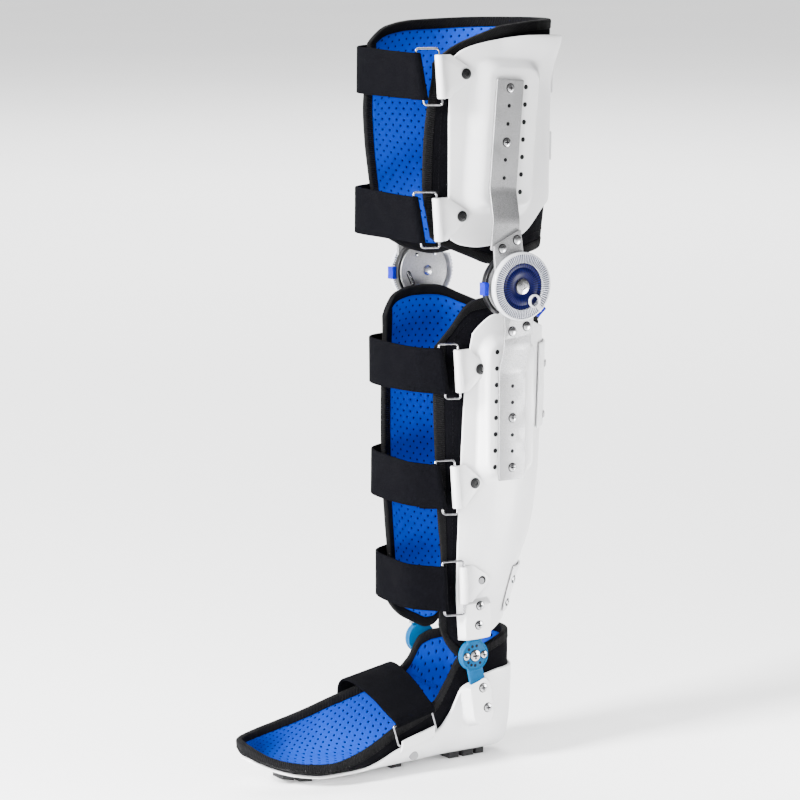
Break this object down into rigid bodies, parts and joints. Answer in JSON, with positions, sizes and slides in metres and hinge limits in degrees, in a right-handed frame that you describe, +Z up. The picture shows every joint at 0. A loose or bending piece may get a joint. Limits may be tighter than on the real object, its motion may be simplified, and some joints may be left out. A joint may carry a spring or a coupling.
{
  "type": "knee ankle foot brace",
  "caption": "Knee ankle foot brace with white half shells, blue padded cuffs, strut-and-dial knee hinges, ankle hinges, ring straps and a boot-like foot.",
  "frame": {"origin": "centre of the heel tread lug's underside, below the ankle axis and midway between the two ankle hinges", "axes": "+Z up along the leg, toes to -Y, +X to the outer (lateral) side with the strap rings"},
  "size_m": [0.2028, 0.3676, 0.777],
  "materials": {
    "blue_lining": "perforated royal-blue foam lining",
    "black_liner": "black padded loop fabric",
    "black_binding": "black ribbed edge tape",
    "black_webbing": "black loop-faced strap webbing",
    "chrome_wire": "bright bent wire",
    "white_plastic": "satin white moulded shell",
    "satin_steel": "satin blasted steel",
    "cyan_alloy": "cyan anodised alloy",
    "clear_plastic": "clear moulded dial cover",
    "navy_plastic": "navy dial disc",
    "blue_plastic": "bright blue key and slider",
    "black_plastic": "black rivets and hinge bumper",
    "dark_rubber": "dark grey moulded rubber"
  },
  "bodies": {
    "foot": {"foot_shell": "white_plastic", "foot_liner": "black_liner", "foot_lining": "blue_lining", "foot_binding": "black_binding", "foot_strap": "black_webbing", "foot_ring": "chrome_wire", "tread": "dark_rubber", "ankle_arm_lower_lateral": "cyan_alloy", "ankle_arm_lower_medial": "cyan_alloy"},
    "calf": {"calf_shell_lateral": "white_plastic", "calf_shell_medial": "white_plastic", "calf_liner": "black_liner", "calf_lining": "blue_lining", "calf_binding": "black_binding", "calf_strap_upper": "black_webbing", "calf_strap_middle": "black_webbing", "calf_strap_lower": "black_webbing", "calf_ring_upper": "chrome_wire", "calf_ring_middle": "chrome_wire", "calf_ring_lower": "chrome_wire", "calf_bracket_upper": "white_plastic", "calf_bracket_middle": "white_plastic", "calf_bracket_lower": "white_plastic", "calf_rivet_upper": "black_plastic", "calf_rivet_middle": "black_plastic", "calf_strut_lateral": "satin_steel", "calf_strut_medial": "satin_steel", "hinge_arm_lower_lateral": "satin_steel", "hinge_arm_lower_medial": "satin_steel", "hinge_case_lateral": "satin_steel", "hinge_case_medial": "satin_steel", "dial_cover_lateral": "clear_plastic", "dial_cover_medial": "clear_plastic", "dial_disc_lateral": "navy_plastic", "dial_disc_medial": "navy_plastic", "dial_key_lateral": "blue_plastic", "dial_key_medial": "blue_plastic", "lock_slider_lateral": "blue_plastic", "lock_slider_medial": "blue_plastic", "hinge_bumper_lateral": "black_plastic", "hinge_bumper_medial": "black_plastic", "ankle_arm_upper_lateral": "cyan_alloy", "ankle_arm_upper_medial": "cyan_alloy"},
    "thigh": {"thigh_shell_lateral": "white_plastic", "thigh_shell_medial": "white_plastic", "thigh_liner": "black_liner", "thigh_lining": "blue_lining", "thigh_binding": "black_binding", "thigh_strap_upper": "black_webbing", "thigh_strap_lower": "black_webbing", "thigh_ring_upper": "chrome_wire", "thigh_ring_lower": "chrome_wire", "thigh_bracket_upper": "white_plastic", "thigh_bracket_lower": "white_plastic", "thigh_rivet_upper": "black_plastic", "thigh_rivet_lower": "black_plastic", "thigh_strut_lateral": "satin_steel", "thigh_strut_medial": "satin_steel", "hinge_arm_upper_lateral": "satin_steel", "hinge_arm_upper_medial": "satin_steel"}
  },
  "joints": [
    {"name": "ankle_hinge", "type": "hinge", "parent": "foot", "child": "calf", "pos_m": [0, 0, 0.1188], "axis": [1, 0, 0], "range_deg": [-10, 15]},
    {"name": "knee_hinge", "type": "hinge", "parent": "calf", "child": "thigh", "pos_m": [0, 0.027, 0.5095], "axis": [-1, 0, 0], "range_deg": [0, 45]}
  ]
}
